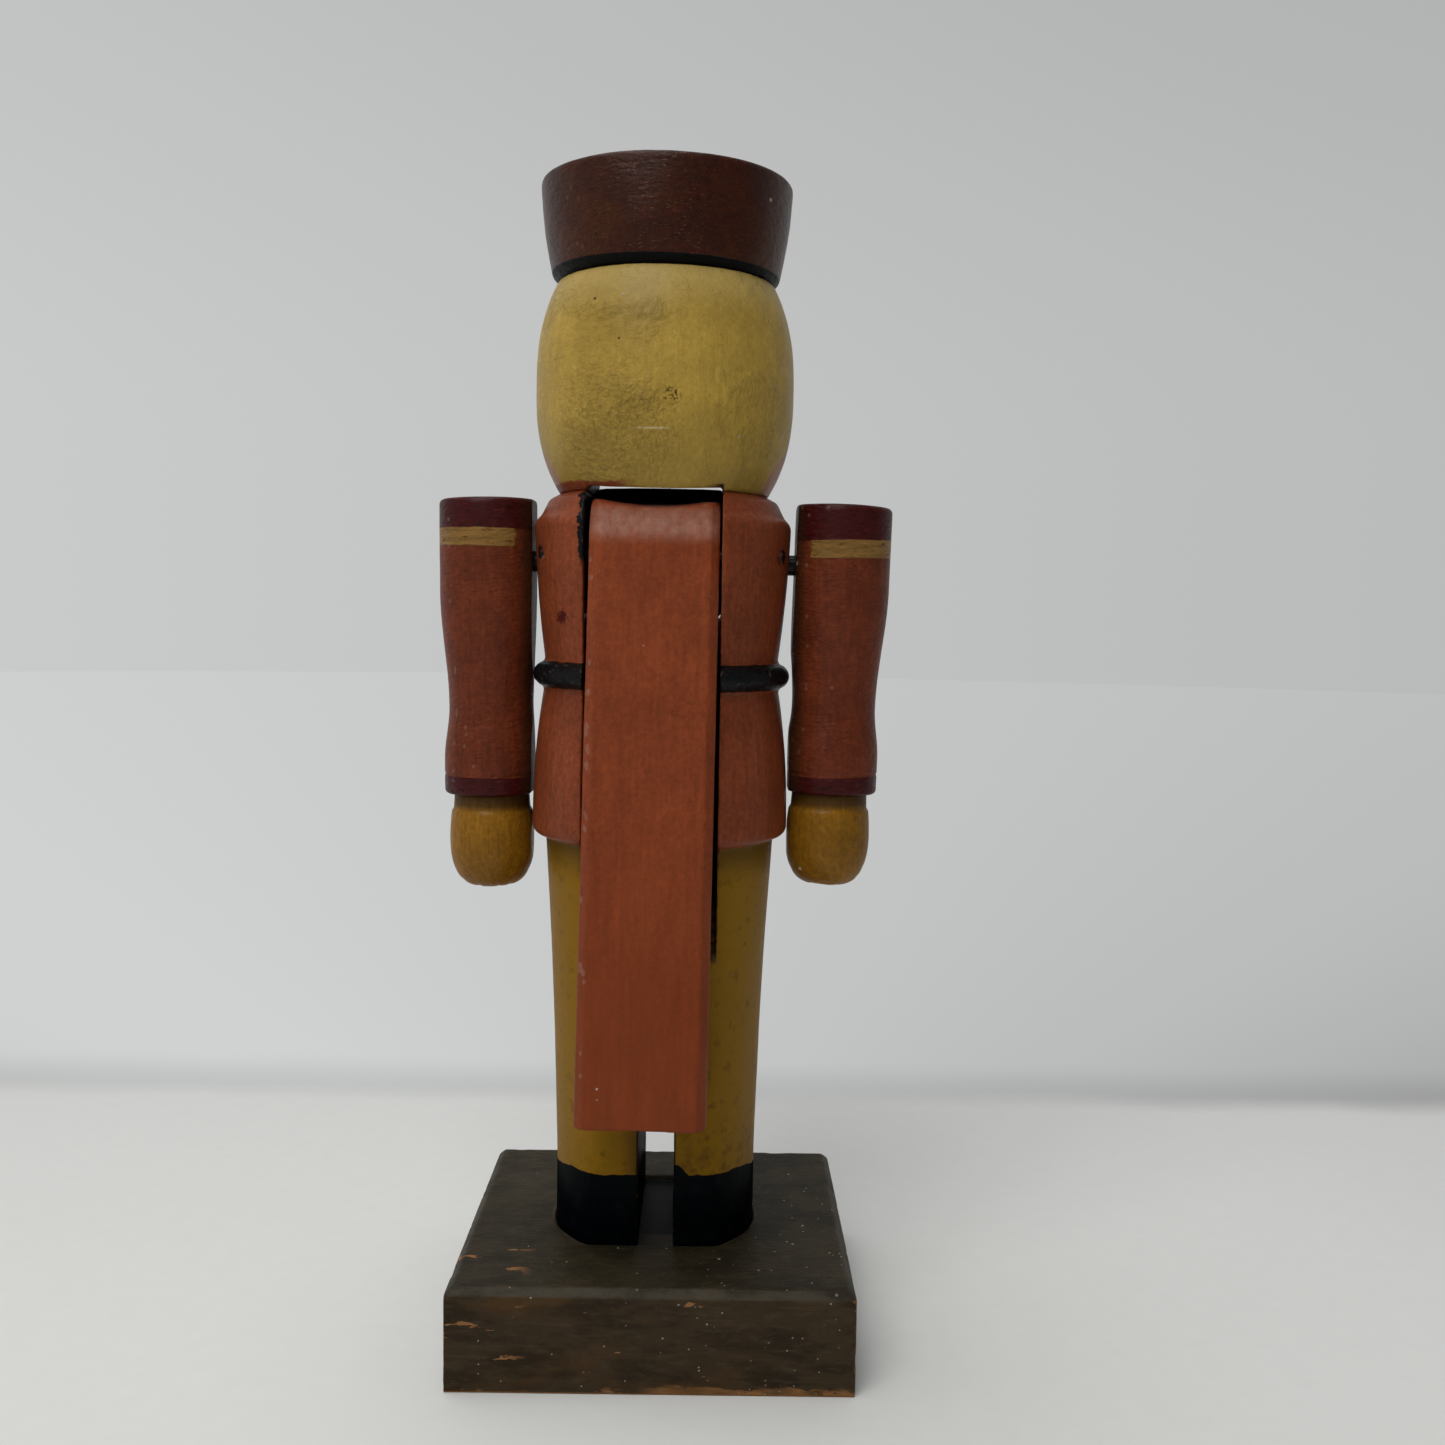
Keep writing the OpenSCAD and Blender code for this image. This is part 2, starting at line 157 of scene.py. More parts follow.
class Graph:
    """Makes shader nodes and links. A value may be a number, a colour or another node's output."""

    def __init__(self, tree):
        self.tree = tree
        tree.nodes.clear()

    def node(self, kind, **settings):
        made = self.tree.nodes.new(kind)
        for name, value in settings.items():
            setattr(made, name, value)
        return made

    def link(self, value, socket):
        if isinstance(value, bpy.types.NodeSocket):
            self.tree.links.new(value, socket)
        elif isinstance(value, (tuple, list)) and len(socket.default_value) == 4:
            socket.default_value = (*value, 1.0)
        else:
            socket.default_value = value

    def math(self, operation, *values, clamp=False):
        made = self.node("ShaderNodeMath", operation=operation, use_clamp=clamp)
        for value, socket in zip(values, made.inputs):
            self.link(value, socket)
        return made.outputs[0]

    def plus(self, first, second):
        return self.math("ADD", first, second)

    def minus(self, first, second):
        return self.math("SUBTRACT", first, second)

    def times(self, first, second):
        return self.math("MULTIPLY", first, second)

    def ramp(self, value, slope, start):
        """start, plus slope for each unit of value."""
        return self.math("MULTIPLY_ADD", value, slope, start)

    def size(self, value):
        return self.math("ABSOLUTE", value)

    def vector(self, operation, *values, scale=None):
        made = self.node("ShaderNodeVectorMath", operation=operation)
        for value, socket in zip(values, made.inputs):
            self.link(value, socket)
        if scale is not None:
            self.link(scale, made.inputs["Scale"])
        return made.outputs["Value" if operation in ("DOT_PRODUCT", "LENGTH") else "Vector"]

    def split(self, vector):
        made = self.node("ShaderNodeSeparateXYZ")
        self.link(vector, made.inputs[0])
        return made.outputs

    def smooth(self, value, low, high):
        """0 below low, 1 above high, and a smooth step between them. low may be above high."""
        made = self.node("ShaderNodeMapRange", interpolation_type="SMOOTHSTEP")
        swap = not isinstance(low, bpy.types.NodeSocket) and low > high
        self.link(value, made.inputs["Value"])
        self.link(high if swap else low, made.inputs["From Min"])
        self.link(low if swap else high, made.inputs["From Max"])
        return self.invert(made.outputs[0]) if swap else made.outputs[0]

    def invert(self, value):
        return self.math("SUBTRACT", 1.0, value, clamp=True)

    def both(self, *masks):
        result = masks[0]
        for mask in masks[1:]:
            result = self.math("MULTIPLY", result, mask)
        return result

    def either(self, *masks):
        result = masks[0]
        for mask in masks[1:]:
            result = self.math("MAXIMUM", result, mask)
        return result

    def mix(self, mask, under, over):
        made = self.node("ShaderNodeMix", data_type="RGBA", clamp_factor=True)
        self.link(mask, made.inputs[0])
        self.link(under, made.inputs[6])
        self.link(over, made.inputs[7])
        return made.outputs[2]

    def blend(self, mask, under, over):
        """A number between under and over."""
        made = self.node("ShaderNodeMix", data_type="FLOAT", clamp_factor=True)
        self.link(mask, made.inputs[0])
        self.link(under, made.inputs[2])
        self.link(over, made.inputs[3])
        return made.outputs[0]

    def tint(self, colour, level):
        """A colour made brighter or darker by a number."""
        return self.vector("SCALE", colour, scale=level)

    def noise(self, point, scale, detail=3.0, rough=0.55, stretch=(1, 1, 1), seed=0.0):
        """Cloudy noise, 0 to 1. scale is features for each millimetre."""
        made = self.node("ShaderNodeTexNoise")
        moved = self.vector("MULTIPLY_ADD", point, stretch, (seed, -seed * 0.7, seed * 1.3))
        self.link(moved, made.inputs["Vector"])
        made.inputs["Scale"].default_value = scale
        made.inputs["Detail"].default_value = detail
        made.inputs["Roughness"].default_value = rough
        return made.outputs["Fac"]

    def cells(self, point, scale, feature="F1", stretch=(1, 1, 1), seed=0.0):
        """Voronoi cells: the distance within each cell, and a random colour for each."""
        made = self.node("ShaderNodeTexVoronoi", feature=feature)
        moved = self.vector("MULTIPLY_ADD", point, stretch, (seed, seed * 0.6, -seed))
        self.link(moved, made.inputs["Vector"])
        made.inputs["Scale"].default_value = scale
        return made

    def dots(self, point, scale, radius, share, seed=0.0):
        """Scattered round dots: radius in cells, and the share of cells that have one."""
        made = self.cells(point, scale, seed=seed)
        chosen = self.smooth(self.split(made.outputs["Color"])[0], share, share - 0.02)
        size = self.math("MULTIPLY", self.split(made.outputs["Color"])[1], radius)
        ragged = self.math("MULTIPLY_ADD", self.noise(point, scale * 6, detail=2.0), radius, -radius / 2)
        inside = self.math("SUBTRACT", self.math("ADD", size, ragged), made.outputs["Distance"])
        return self.both(self.smooth(inside, 0.0, radius * 0.3), chosen)

    def cracks(self, point, scale, width, seed=0.0):
        """Thin lines between irregular cells, 1 on the line."""
        bent = self.node("ShaderNodeTexNoise")
        self.link(point, bent.inputs["Vector"])
        bent.inputs["Scale"].default_value = scale * 1.4
        offset = self.vector("SCALE", bent.outputs["Color"], scale=1.1 / scale)
        made = self.cells(self.vector("ADD", point, offset), scale, "DISTANCE_TO_EDGE", seed=seed)
        return self.smooth(made.outputs["Distance"], width, 0.0)


class Paint:
    """A painted surface under construction: its colour, gloss and height, changed layer by layer."""

    def __init__(self, name, colour, roughness=0.5, coat=0.22):
        self.material = bpy.data.materials.new(name)
        self.material.use_nodes = True
        self.graph = Graph(self.material.node_tree)
        coords = self.graph.node("ShaderNodeTexCoord")
        self.point = self.graph.vector("SCALE", coords.outputs["Object"], scale=1 / MM)
        self.x, self.y, self.z = self.graph.split(self.point)
        self.colour = colour
        self.roughness = roughness
        self.height = 0.0
        self.coat = coat
        self.specular = 0.06
        self.metallic = 0.0

    def layer(self, mask, colour=None, roughness=None, height=None, share=1.0):
        """Covers where mask is 1. height is how far the layer stands up, in millimetres, and share
        is how much of what lies under it the layer hides."""
        graph = self.graph
        if share < 1.0:
            mask = graph.times(mask, share)
        if colour is not None:
            self.colour = graph.mix(mask, self.colour, colour)
        if roughness is not None:
            self.roughness = graph.blend(mask, self.roughness, roughness)
        if height is not None:
            self.rise(graph.times(mask, height))

    def rise(self, amount):
        self.height = self.graph.plus(self.height, amount)

    def shade(self, amount):
        """Multiplies the colour by a number."""
        self.colour = self.graph.tint(self.colour, amount)

    def vary(self, amount, scale, stretch=(1, 1, 1), seed=0.0, detail=3.0, rough=0.55):
        """Lighter and darker patches, by the given share of the colour."""
        patches = self.graph.noise(self.point, scale, detail, rough, stretch, seed)
        spread = self.graph.ramp(patches, 6 * amount, 1 - 3 * amount)
        self.shade(self.graph.math("MAXIMUM", spread, 0.2))

    def noise(self, scale, detail=3.0, rough=0.55, stretch=(1, 1, 1), seed=0.0):
        """Cloudy noise over the surface, 0 to 1."""
        return self.graph.noise(self.point, scale, detail, rough, stretch, seed)

    def patches(self, scale, low, high, **kind):
        """Irregular patches: 1 where the noise is above high, 0 where it is below low."""
        return self.graph.smooth(self.noise(scale, **kind), low, high)

    def distance(self, place):
        """How far the surface is from a place, in millimetres."""
        return self.graph.vector("LENGTH", self.graph.vector("SUBTRACT", self.point, place))

    def from_axis(self):
        """How far the surface is from the figure's upright axis, in millimetres."""
        graph = self.graph
        across = graph.minus(self.x, FIGURE_X)
        return graph.math("SQRT", graph.plus(graph.times(self.y, self.y), graph.times(across, across)))

    def edges(self, low=0.52, high=0.58):
        """1 on convex edges, where handling wears the paint."""
        geometry = self.graph.node("ShaderNodeNewGeometry")
        return self.graph.smooth(geometry.outputs["Pointiness"], low, high)

    def hollow_shade(self, low=0.49, high=0.44):
        """1 in concave corners, which are darkened with painted shade."""
        geometry = self.graph.node("ShaderNodeNewGeometry")
        return self.graph.smooth(geometry.outputs["Pointiness"], low, high)

    def finish(self):
        graph = self.graph
        shader = graph.node("ShaderNodeBsdfPrincipled")
        graph.link(self.colour, shader.inputs["Base Color"])
        graph.link(self.roughness, shader.inputs["Roughness"])
        graph.link(self.specular, shader.inputs["Specular IOR Level"])
        graph.link(self.coat, shader.inputs["Coat Weight"])
        shader.inputs["Coat Roughness"].default_value = 0.14
        shader.inputs["Metallic"].default_value = self.metallic
        bump = graph.node("ShaderNodeBump")
        bump.inputs["Strength"].default_value = 1.0
        bump.inputs["Distance"].default_value = MM
        graph.link(self.height, bump.inputs["Height"])
        graph.link(bump.outputs[0], shader.inputs["Normal"])
        varnish = graph.node("ShaderNodeBump")
        varnish.inputs["Strength"].default_value = 0.25
        varnish.inputs["Distance"].default_value = MM
        graph.link(self.height, varnish.inputs["Height"])
        graph.link(varnish.outputs[0], shader.inputs["Coat Normal"])
        graph.link(shader.outputs[0], graph.node("ShaderNodeOutputMaterial").inputs["Surface"])
        return self.material


def floor_material():
    material = bpy.data.materials.new("floor")
    material.use_nodes = True
    graph = Graph(material.node_tree)
    coords = graph.node("ShaderNodeTexCoord")
    place = coords.outputs["Object"]
    weave = graph.noise(place, 160.0, detail=4.0)
    cloth = graph.node("ShaderNodeBsdfDiffuse")
    graph.link(graph.tint((0.80, 0.805, 0.79), graph.ramp(weave, 0.05, 0.975)),
               cloth.inputs["Color"])
    # painted light: the far floor glows as a lit backdrop, brighter on the left
    backdrop_glow = graph.node("ShaderNodeEmission")
    direction = graph.vector("NORMALIZE", place)
    wave = graph.ramp(graph.noise(place, 9.0), 0.02, -0.01)
    back = graph.plus(graph.split(place)[1], wave)
    # painted shade in the seam where the floor cloth bends up into the backdrop
    seam_shade = graph.both(graph.smooth(back, -0.215, -0.172), graph.smooth(back, -0.140, -0.166))
    folds = graph.noise(place, 5.0, detail=2.0, stretch=(0.3, 1.0, 1.0))
    dip = graph.times(graph.ramp(folds, 0.5, 0.75), 0.16)
    shade = graph.minus(1.05, graph.times(seam_shade, dip))
    graph.link(graph.tint(backdrop_colour(graph, direction), shade), backdrop_glow.inputs["Color"])
    far = graph.either(graph.smooth(graph.vector("LENGTH", place), 0.35, 0.9),
                       graph.smooth(back, -0.152, -0.176))
    mixed = graph.node("ShaderNodeMixShader")
    graph.link(far, mixed.inputs[0])
    graph.link(cloth.outputs[0], mixed.inputs[1])
    graph.link(backdrop_glow.outputs[0], mixed.inputs[2])
    graph.link(mixed.outputs[0], graph.node("ShaderNodeOutputMaterial").inputs["Surface"])
    return material


# ---------------------------------------------------------------- colours, as light reflected

COAT = (0.235, 0.052, 0.018)
COAT_LEVER = (0.245, 0.049, 0.014)
COAT_SLEEVE = (0.165, 0.033, 0.011)
COAT_DARK = (0.10, 0.020, 0.010)
MAROON = (0.060, 0.005, 0.005)
GOLD = (0.29, 0.155, 0.040)
OCHRE_LEG = (0.31, 0.155, 0.004)
OCHRE_HEAD = (0.50, 0.325, 0.060)
OCHRE_HAND = (0.28, 0.125, 0.008)
BLACK = (0.003, 0.004, 0.005)
BOOT = (0.001, 0.002, 0.003)
HAT_BROWN = (0.056, 0.010, 0.002)
BASE_OLIVE = (0.031, 0.023, 0.010)
BARE_WOOD = (0.42, 0.20, 0.075)
# used for real dirt and also for painted shade in hollows, gaps and under overhangs
DIRT_AND_SHADE = (0.035, 0.020, 0.008)
DUST = (0.52, 0.47, 0.38)
FLESH = (0.46, 0.21, 0.11)
HAIR_DARK = (0.035, 0.016, 0.008)
LIP_RED = (0.24, 0.022, 0.018)
CREAM = (0.62, 0.56, 0.42)
IRIS = (0.035, 0.075, 0.12)


def brushed(paint, along=(1.0, 1.0, 0.06), streak=0.12, mottle=0.12, grit=0.24, seed=0.0):
    """Brush streaks, cloudy patches and fine orange peel, which every painted face has."""
    graph = paint.graph
    paint.vary(mottle, 0.07, seed=seed)
    paint.vary(streak, 1.1, stretch=along, seed=seed + 11)
    paint.vary(grit, 0.75, seed=seed + 5, detail=6.0, rough=0.72)
    strokes = paint.noise(1.6, stretch=along, seed=seed + 3)
    grains = paint.noise(1.7, detail=5.0, rough=0.65, seed=seed + 7)
    paint.rise(graph.times(strokes, 0.12))
    paint.rise(graph.times(grains, 0.38))


def dusty(paint, share=0.05, seed=0.0):
    """A few pale specks and dark pits."""
    graph = paint.graph
    paint.layer(graph.dots(paint.point, 0.22, 0.16, share, seed + 1), DUST, 0.9)
    paint.layer(graph.dots(paint.point, 0.16, 0.12, share * 0.8, seed + 9), DIRT_AND_SHADE, 0.8, -0.06)


def crackled(paint, scale, depth, colour, seed=0.0, patch=0.5):
    """Fine cracks that come and go over the surface."""
    graph = paint.graph
    lines = graph.cracks(paint.point, scale, 0.045, seed)
    where = paint.patches(0.12, patch - 0.08, patch + 0.12, seed=seed + 2)
    mask = graph.both(lines, where)
    paint.layer(mask, colour, None, -depth)


def band(paint, value, low, high, wobble=0.3, soft=0.12, seed=0.0, scale=0.35):
    """1 between low and high of value, with hand-painted edges. None leaves a side open."""
    graph = paint.graph
    shake = graph.ramp(paint.noise(scale, seed=seed), 2 * wobble, -wobble)
    shaken = graph.plus(value, shake)
    masks = []
    if low is not None:
        masks.append(graph.smooth(graph.minus(shaken, low), -soft, soft))
    if high is not None:
        masks.append(graph.smooth(graph.minus(shaken, high), soft, -soft))
    return graph.both(*masks)


def spot(paint, x, z, width, height, lean=0.0, soft=0.12):
    """1 inside an ellipse painted on the front, leaning by lean degrees."""
    graph = paint.graph
    dx = graph.minus(paint.x, x)
    dz = graph.minus(paint.z, z)
    c, s = math.cos(math.radians(lean)), math.sin(math.radians(lean))
    along = graph.plus(graph.times(dx, c / width), graph.times(dz, s / width))
    across = graph.minus(graph.times(dz, c / height), graph.times(dx, s / height))
    size = graph.math("SQRT", graph.plus(graph.times(along, along),
                                         graph.times(across, across)))
    edge = soft / min(width, height)
    return graph.both(graph.smooth(size, 1 + edge, 1 - edge), graph.smooth(paint.y, -9.0, -11.0))


# ---------------------------------------------------------------- the materials

def coat_paint(name, colour, seed, crackle=0.62):
    """Brushed and crackled paint, the ground of the coat, the sleeves and the lever."""
    paint = Paint(name, colour, 0.52)
    brushed(paint, seed=seed)
    crackled(paint, 0.5, 0.03, COAT_DARK, seed, crackle)
    return paint


def paint_coat_front(paint, front):
    """The coat's opening down the middle of the front, and its gold buttons."""
    opening = band(paint, paint.x, FIGURE_X - 0.35, FIGURE_X + 0.35, 0.15, seed=21)
    paint.layer(paint.graph.both(opening, front), COAT_DARK, None, -0.1)
    for z in BUTTONS_Z:
        paint.layer(spot(paint, FIGURE_X, z, 2.1, 2.1), GOLD, 0.4, 0.15)


def paint_legs(paint):
    """Ochre trousers, dirtier low down and on the right, with painted shadow under the coat's hem."""
    graph = paint.graph
    legs = band(paint, paint.z, None, HEM_Z, 0.1, 0.1, seed=4)
    ochre = graph.mix(paint.noise(0.06, seed=31), graph.tint(OCHRE_LEG, 0.82), OCHRE_LEG)
    paint.layer(legs, ochre, 0.5)
    worn = paint.patches(0.35, 0.56, 0.72, detail=5.0, seed=8)
    paint.layer(graph.both(legs, worn), graph.tint(OCHRE_LEG, 0.62))
    low = graph.smooth(paint.z, 66.0, 42.0)
    dirt = paint.patches(0.30, 0.46, 0.75, detail=6.0, rough=0.7, seed=14)
    amount = graph.ramp(graph.smooth(paint.x, 4.0, -6.0), 0.45, 0.2)
    paint.layer(graph.both(legs, low, dirt, amount), DIRT_AND_SHADE, 0.62)
    # painted shadow under the coat's hem
    under = graph.both(legs, graph.smooth(paint.z, 112.0, 122.0))
    paint.layer(under, DIRT_AND_SHADE, 0.62, share=0.55)
    return legs


def paint_boots(paint, legs):
    """Black boots, higher at the back and at the right leg's inner corner."""
    graph = paint.graph
    corner = graph.both(graph.smooth(paint.x, -8.5, -5.0), graph.smooth(paint.x, 0.0, -1.0))
    top = graph.ramp(graph.smooth(paint.y, 2.0, 16.0), 2.4, BOOT_Z)
    top = graph.ramp(corner, 2.6, top)
    boots = band(paint, graph.minus(paint.z, top), None, 0.0, 0.9, 0.1, seed=2, scale=0.16)
    paint.layer(boots, BOOT, 0.33, 0.12)
    paint.specular = graph.blend(boots, paint.specular, 0.0)
    paint.coat = graph.blend(legs, paint.coat, 0.08)
    dull = paint.patches(0.25, 0.5, 0.75, detail=5.0, seed=6)
    paint.layer(graph.both(boots, dull), (0.008, 0.009, 0.010), 0.55, share=0.5)
    return boots


def paint_belt(paint, front):
    """A chipped, lumpy black belt with a gold buckle."""
    graph = paint.graph
    belt = band(paint, paint.z, BELT_Z - 3.0, BELT_Z + 3.2, 0.35, 0.12, seed=12)
    paint.layer(belt, BLACK, 0.42, 0.05)
    chips = paint.patches(0.9, 0.62, 0.68, detail=5.0, seed=15)
    paint.layer(graph.both(belt, chips), (0.075, 0.065, 0.055), 0.6, -0.08)
    paint.rise(graph.both(belt, graph.times(paint.noise(0.6, detail=4.0, seed=18), 1.4)))
    right_bar = band(paint, paint.x, FIGURE_X - BUCKLE_OUT, FIGURE_X - BUCKLE_IN, 0.1)
    left_bar = band(paint, paint.x, FIGURE_X + BUCKLE_IN, FIGURE_X + BUCKLE_OUT, 0.1)
    width = band(paint, paint.x, FIGURE_X - BUCKLE_OUT, FIGURE_X + BUCKLE_OUT, 0.1)
    low_bar = band(paint, paint.z, BELT_Z - 3.4, BELT_Z - 2.0, 0.1)
    high_bar = band(paint, paint.z, BELT_Z + 2.0, BELT_Z + 3.4, 0.1)
    buckle = graph.either(graph.both(right_bar, belt, front), graph.both(left_bar, belt, front),
                          graph.both(width, front, graph.either(low_bar, high_bar)))
    paint.layer(buckle, GOLD, 0.4, 0.1)


def paint_slot(paint, legs, boots):
    """Rough bare wood where the slot runs out, painted shade inside it, and painted shade on the walls
    between the legs.
    """
    graph = paint.graph
    in_slot = graph.smooth(graph.size(graph.minus(paint.x, SLOT_X)), SLOT_HALF + 0.5, SLOT_HALF + 0.15)
    deep = graph.smooth(paint.from_axis(), 27.6, 26.2)
    rough = paint.noise(0.7, detail=5.0, stretch=(0.4, 1.0, 1.0), seed=27)
    ragged_z = graph.ramp(rough, 12.0, graph.minus(paint.z, 6.0))
    low, high = SLOT_RUN_OUT_Z
    bare = graph.both(in_slot, graph.smooth(paint.y, 8.0, 11.0), graph.smooth(ragged_z, low, low + 2.0),
                      graph.smooth(paint.z, high, high - 3.0))
    splinters = graph.mix(graph.smooth(rough, 0.42, 0.62), graph.tint(DIRT_AND_SHADE, 1.4), (0.16, 0.085, 0.028))
    paint.layer(bare, splinters, 0.85)
    # painted shade: the inside of the slot is darkened
    inside = graph.both(in_slot, deep, graph.smooth(ragged_z, high - 9.0, high - 2.0))
    paint.layer(inside, graph.tint(DIRT_AND_SHADE, 0.3), 0.85)

    # painted shade: the walls of the gap between the legs are blackened
    leg_gap_shade = graph.both(graph.smooth(graph.size(paint.x), LEG_GAP_HALF + 0.7, LEG_GAP_HALF + 0.2),
                        graph.smooth(paint.z, LEG_GAP_TOP, LEG_GAP_TOP - 1.0))
    paint.layer(graph.both(leg_gap_shade, graph.invert(boots)), BLACK, 0.75)
    # painted shade on the left leg's side next to the gap
    gap_side_shade = graph.both(graph.smooth(paint.x, 9.0, 4.5), graph.smooth(paint.x, 0.0, 2.0))
    paint.layer(graph.both(legs, graph.invert(boots), gap_side_shade), DIRT_AND_SHADE, share=0.55)


def paint_marks(paint):
    """A dark red mark on the left, black glue along the slot's left edge, and black pin holes."""
    graph = paint.graph
    seen_flat = graph.vector("MULTIPLY", paint.point, (1.0, 0.0, 1.0))
    away = graph.vector("LENGTH", graph.vector("SUBTRACT", seen_flat, (24.0, 0.0, 176.0)))
    ragged_away = graph.plus(away, graph.ramp(paint.noise(1.1, detail=5.0, seed=39), -4.0, 2.0))
    mark = graph.both(graph.smooth(ragged_away, 1.6, 1.1), graph.smooth(paint.y, 0.0, 2.0))
    paint.layer(mark, (0.07, 0.004, 0.003), 0.4)

    ragged = graph.ramp(paint.noise(0.6, detail=5.0, seed=37), -4.5, 2.2)
    past_edge = graph.plus(graph.minus(paint.x, SLOT_X + SLOT_HALF), ragged)
    smear = graph.both(graph.smooth(past_edge, 1.2, 0.9), graph.smooth(past_edge, -3.0, -2.0),
                       graph.smooth(paint.y, 10.0, 16.0),
                       graph.smooth(graph.plus(paint.z, ragged), 187.0, 190.0))
    paint.layer(smear, BLACK, 0.7, 0.15)

    for corner in FIGURE_BOX:
        x = corner.x / MM
        blot = graph.ramp(paint.noise(0.8, seed=x), -2.2, 1.1)
        hole = graph.plus(paint.distance((x, PIN[1], PIN[2])), blot)
        paint.layer(graph.smooth(hole, 3.6, 3.0), BLACK, 0.5)


def column_material():
    paint = coat_paint("body_paint", COAT, 3)
    graph = paint.graph
    front = graph.smooth(paint.y, -8.0, -10.0)
    paint_coat_front(paint, front)
    legs = paint_legs(paint)
    boots = paint_boots(paint, legs)
    paint_belt(paint, front)
    paint_slot(paint, legs, boots)
    paint_marks(paint)
    # painted shade darkens the concave corners
    paint.layer(paint.hollow_shade(), DIRT_AND_SHADE, 0.7, share=0.6)
    worn_and_highlit = graph.both(paint.edges(0.53, 0.6), paint.patches(0.5, 0.5, 0.6, seed=17))
    paint.layer(worn_and_highlit, graph.mix(0.5, BARE_WOOD, COAT), 0.6, share=0.6)
    dusty(paint, 0.05, 3)
    return paint.finish()


def paint_jaw(paint):
    """Teeth, lower lip and beard on the jaw's curved front, and painted shade inside the mouth."""
    graph = paint.graph
    front = graph.smooth(paint.y, -12.0, -14.0)
    beard = graph.both(front, band(paint, paint.z, None, LIP_Z, 0.3, seed=52))
    strands = paint.noise(1.3, detail=3.0, stretch=(1.0, 1.0, 0.12), seed=55)
    hair = graph.mix(strands, graph.tint(OCHRE_HEAD, 0.45), graph.tint(OCHRE_HEAD, 0.95))
    paint.layer(beard, hair, 0.6, 0.05)
    lip = graph.both(front, band(paint, paint.z, LIP_Z, TEETH_Z, 0.2, seed=53))
    paint.layer(lip, LIP_RED, 0.45, 0.12)
    teeth = graph.both(front, band(paint, paint.z, TEETH_Z, None, 0.05, seed=54))
    paint.layer(teeth, CREAM, 0.4)
    half = TOOTH_PITCH / 2
    from_gap = graph.math("PINGPONG", graph.minus(paint.x, SLOT_X + half), half)
    gaps = graph.both(front, graph.smooth(from_gap, 0.35, 0.15), band(paint, paint.z, TEETH_Z, None, 0.05))
    paint.layer(gaps, DIRT_AND_SHADE, 0.6, -0.15)
    above = graph.minus(paint.z, graph.ramp(paint.y, -0.135, 204.6))
    # painted shade: the jaw's top inside the mouth is darkened and has no gloss
    inside = graph.both(graph.smooth(above, 0.0, 0.8), graph.smooth(paint.y, 22.0, 19.0),
                        graph.smooth(paint.y, -26.5, -24.5))
    paint.layer(inside, (0.012, 0.005, 0.004), 0.8)
    paint.coat = graph.blend(inside, paint.coat, 0.0)
    paint.specular = graph.blend(inside, paint.specular, 0.0)


def lever_material():
    paint = coat_paint("lever_paint", COAT_LEVER, 40, 0.66)
    graph = paint.graph
    # painted highlight: a pale band where the lever's rounded top faces the light from above
    worn_and_highlit = graph.both(graph.smooth(paint.z, 192.6, 196.5), graph.smooth(paint.z, 203.0, 200.0))
    patchy = graph.ramp(paint.noise(0.5, detail=5.0, seed=43), 1.6, -0.2)
    paint.layer(graph.both(worn_and_highlit, patchy), (0.38, 0.19, 0.135), 0.38)
    paint.layer(graph.smooth(paint.z, 150.0, 70.0), (0.185, 0.031, 0.003), share=0.8)
    paint.vary(0.10, 0.5, stretch=(1.0, 1.0, 0.03), seed=44)
    paint.layer(paint.noise(0.05, seed=47), (0.34, 0.075, 0.025), share=0.4)
    lines = paint.noise(2.6, detail=2.0, stretch=(1.0, 1.0, 0.02), seed=49)
    paint.rise(graph.times(lines, 0.04))
    paint.layer(paint.edges(0.53, 0.62), graph.mix(0.4, COAT_LEVER, DUST), 0.6, share=0.35)
    paint_jaw(paint)
    dusty(paint, 0.16, 41)
    return paint.finish()


